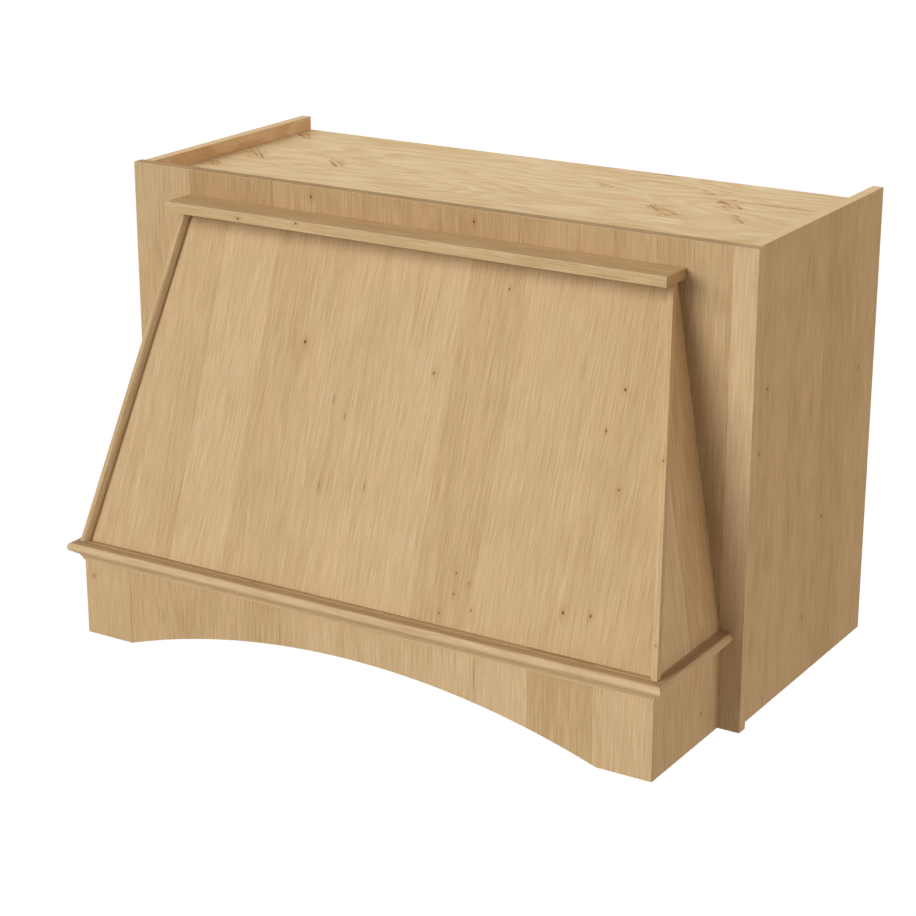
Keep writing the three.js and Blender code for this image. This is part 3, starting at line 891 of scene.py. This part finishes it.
def set_down(side, apart, front, mitred):
    """Places a moulding's section on the left (-1) or right (1), along a mitre (1) or square (0)."""

    def place(projection, height):
        x = side * (APRON_SIDE + apart + projection)
        return (x, front - mitred * projection, MOULDING_BOTTOM + height)

    return place


front_left, front_right = (set_down(side, 0, APRON_FRONT - MOULDING_GAP, 1) for side in (-1, 1))
moulding_piece("moulding_front", front_left, front_right)
for name, side in (("moulding_left", -1), ("moulding_right", 1)):
    mitred_end = set_down(side, MOULDING_GAP, APRON_FRONT, 1)
    square_end = set_down(side, MOULDING_GAP, FACE_FRONT, 0)
    moulding_piece(name, mitred_end, square_end)
strip_piece("corner_strip_left", -1, CORNER_STRIPS["corner_strip_left"])
strip_piece("corner_strip_right", 1, CORNER_STRIPS["corner_strip_right"])


def screw_piece(name, material):
    """A pan-head screw with a cross recess, a cut thread and a point, inside its CAD solid."""
    low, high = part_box(name)
    centre_x = (low[X] + high[X]) / 2
    centre_z = (low[Z] + high[Z]) / 2
    head_radius = (high[X] - low[X]) / 2
    head_top = high[Y]
    head_height = 2.5 * MM
    root_radius, crest_radius, pitch, point_length = 1.35 * MM, 1.95 * MM, 1.6 * MM, 5 * MM
    shank_radius, neck_radius, tip_radius = 1.7 * MM, 1.9 * MM, 0.05 * MM
    drawn_head_radius = 4.5
    around = 32
    rings = []

    def ring(height, radius_at):
        circle = []
        for number in range(around):
            angle = 2 * math.pi * number / around
            radius = radius_at(angle)
            circle.append((centre_x + radius * math.cos(angle), height, centre_z + radius * math.sin(angle)))
        rings.append(circle)

    def recess(angle, outer, inner):
        """A cross: its four arms reach to outer, and the corners between them to inner."""
        arm = abs(math.sin(2 * angle))
        return outer if arm < 0.45 else inner

    ring(head_top - 1.7 * MM, lambda angle: recess(angle, 0.9 * MM, 0.35 * MM))
    ring(head_top - 0.02 * MM, lambda angle: recess(angle, 2.3 * MM, 0.8 * MM))
    dome = ((2.6, 0.0), (3.2, 0.12), (3.8, 0.40), (4.25, 0.85),
            (4.45, 1.35), (4.5, 1.8), (4.4, 2.4), (4.2, 2.5))
    for drawn_radius, down in dome:
        radius = drawn_radius / drawn_head_radius * head_radius
        ring(head_top - down * MM, lambda angle, radius=radius: radius)
    shank_start = head_top - head_height - 0.02 * MM
    ring(shank_start, lambda angle: neck_radius)
    ring(shank_start - 3 * MM, lambda angle: shank_radius)
    shank_end = low[Y]
    height = shank_start - 3.4 * MM
    while height > shank_end + 0.3 * MM:
        taper = min(1.0, (height - shank_end) / point_length)

        def thread(angle, height=height, taper=taper):
            phase = (height / pitch + angle / (2 * math.pi)) % 1
            ridge = max(0.0, 1 - abs(phase - 0.5) / 0.32)
            return taper * (root_radius + (crest_radius - root_radius) * ridge) + tip_radius

        ring(height, thread)
        height -= pitch / 8
    ring(shank_end, lambda angle: tip_radius)
    points = [point for circle in rings for point in circle]
    faces = [tuple(range(around)), tuple(range(len(points) - around, len(points)))]
    for first in range(0, len(points) - around, around):
        for number in range(around):
            following = (number + 1) % around
            above = first + around
            faces.append((first + number, first + following, above + following, above + number))
    piece_from("threaded_" + name, points, faces, name, material)


zinc = screw_finish("zinc_plated_steel")
for number in range(1, 7):
    screw_piece("canopy_screw_" + str(number), zinc)


# ---------------------------- room, light and camera

FLOOR_LEVEL = -2.2         # Z of the floor under a hood that hangs at its usual height
FLOOR_REACH = 60.0         # far enough that the floor fills the picture behind the hood
FLOOR_SHADE = 0.6          # the floor's own pale grey
FLOOR_LIFT = 0.62          # what the camera's own rays add to the floor, so that it reads as white
SKY = 0.22                 # the room's even light
SKY_TINT = "FFF7EA"        # a little warm, as light that has met the wood and the room

# each lamp's strength in W per square metre, its width in degrees, and the direction it shines from
LAMPS = {
    "key": (2.52, 40, (-0.440, -0.795, 0.418)),  # soft, to the left of the camera
    "fill": (1.52, 60, (0.975, 0.210, 0.040)),   # from beside and a little behind the hood
    "back": (0.95, 60, (-0.25, 0.93, 0.26)),     # so that the wall side isn't in the dark
}

CAMERA_PLACE = (1.5733, -2.8338, 0.7390)
CAMERA_TURN = 31.82        # degrees to the left of straight at the wall
CAMERA_DOWN = 19.03        # degrees below level
CAMERA_LENS = 94.32        # mm on a 36 mm frame


def camera_share(wire):
    """1 for rays that come from the camera, or by way of a mirror or glass, and 0 for the rest."""
    path = wire.add("ShaderNodeLightPath")
    seen = wire.total(path.outputs["Is Camera Ray"], path.outputs["Is Glossy Ray"])
    return wire.maths("MINIMUM", wire.total(seen, path.outputs["Is Transmission Ray"]), 1.0)


def lay_floor():
    mesh = bpy.data.meshes.new("floor")
    built = bmesh.new()
    reach = FLOOR_REACH
    corners = [(-reach, -reach), (reach, -reach), (reach, reach), (-reach, reach)]
    built.faces.new([built.verts.new((x, y, FLOOR_LEVEL)) for x, y in corners])
    built.to_mesh(mesh)
    built.free()
    floor = bpy.data.objects.new("floor", mesh)
    bpy.context.scene.collection.objects.link(floor)
    material = bpy.data.materials.new("pale_floor")
    material.use_nodes = True
    wire = Wiring(material.node_tree)
    material.node_tree.nodes.clear()
    matt = wire.add("ShaderNodeBsdfDiffuse")
    matt.inputs["Color"].default_value = (FLOOR_SHADE, FLOOR_SHADE, FLOOR_SHADE, 1.0)
    glow = wire.add("ShaderNodeEmission")
    wire.feed(glow.inputs["Strength"], wire.times(camera_share(wire), FLOOR_LIFT))
    both = wire.add("ShaderNodeAddShader")
    wire.feed(both.inputs[0], matt.outputs[0])
    wire.feed(both.inputs[1], glow.outputs[0])
    clear = wire.add("ShaderNodeBsdfTransparent")
    side = wire.add("ShaderNodeNewGeometry")
    choose = wire.add("ShaderNodeMixShader")
    wire.feed(choose.inputs[0], side.outputs["Backfacing"])
    wire.feed(choose.inputs[1], both.outputs[0])
    wire.feed(choose.inputs[2], clear.outputs[0])
    end = wire.add("ShaderNodeOutputMaterial")
    wire.feed(end.inputs["Surface"], choose.outputs[0])
    mesh.materials.append(material)


def hang_lamp(name, strength, spread, towards):
    """A wide, even lamp that lights the hood from the given direction."""
    lamp = bpy.data.lights.new(name, "SUN")
    lamp.energy = strength
    lamp.angle = math.radians(spread)
    hung = bpy.data.objects.new(name, lamp)
    bpy.context.scene.collection.objects.link(hung)
    level = math.hypot(towards[X], towards[Y])
    hung.rotation_euler = (math.atan2(level, towards[Z]), 0.0, math.atan2(towards[X], -towards[Y]))


def light_room():
    world = bpy.data.worlds.new("room")
    bpy.context.scene.world = world
    world.use_nodes = True
    wire = Wiring(world.node_tree)
    backdrop = next(node for node in world.node_tree.nodes if node.type == "BACKGROUND")
    tint = wire.blend(camera_share(wire), colour(SKY_TINT), colour("FFFFFF"))
    wire.feed(backdrop.inputs["Color"], tint)
    strength = wire.total(SKY, wire.times(camera_share(wire), 1.0 - SKY))
    wire.feed(backdrop.inputs["Strength"], strength)
    for name, lamp in LAMPS.items():
        hang_lamp(name, *lamp)


def set_camera():
    lens = bpy.data.cameras.new("camera")
    lens.lens = CAMERA_LENS
    lens.sensor_width = 36.0
    camera = bpy.data.objects.new("camera", lens)
    bpy.context.scene.collection.objects.link(camera)
    camera.location = CAMERA_PLACE
    camera.rotation_euler = (math.radians(90 - CAMERA_DOWN), 0.0, math.radians(CAMERA_TURN))
    bpy.context.scene.camera = camera


lay_floor()
light_room()
set_camera()
bpy.context.scene.view_settings.view_transform = "Standard"
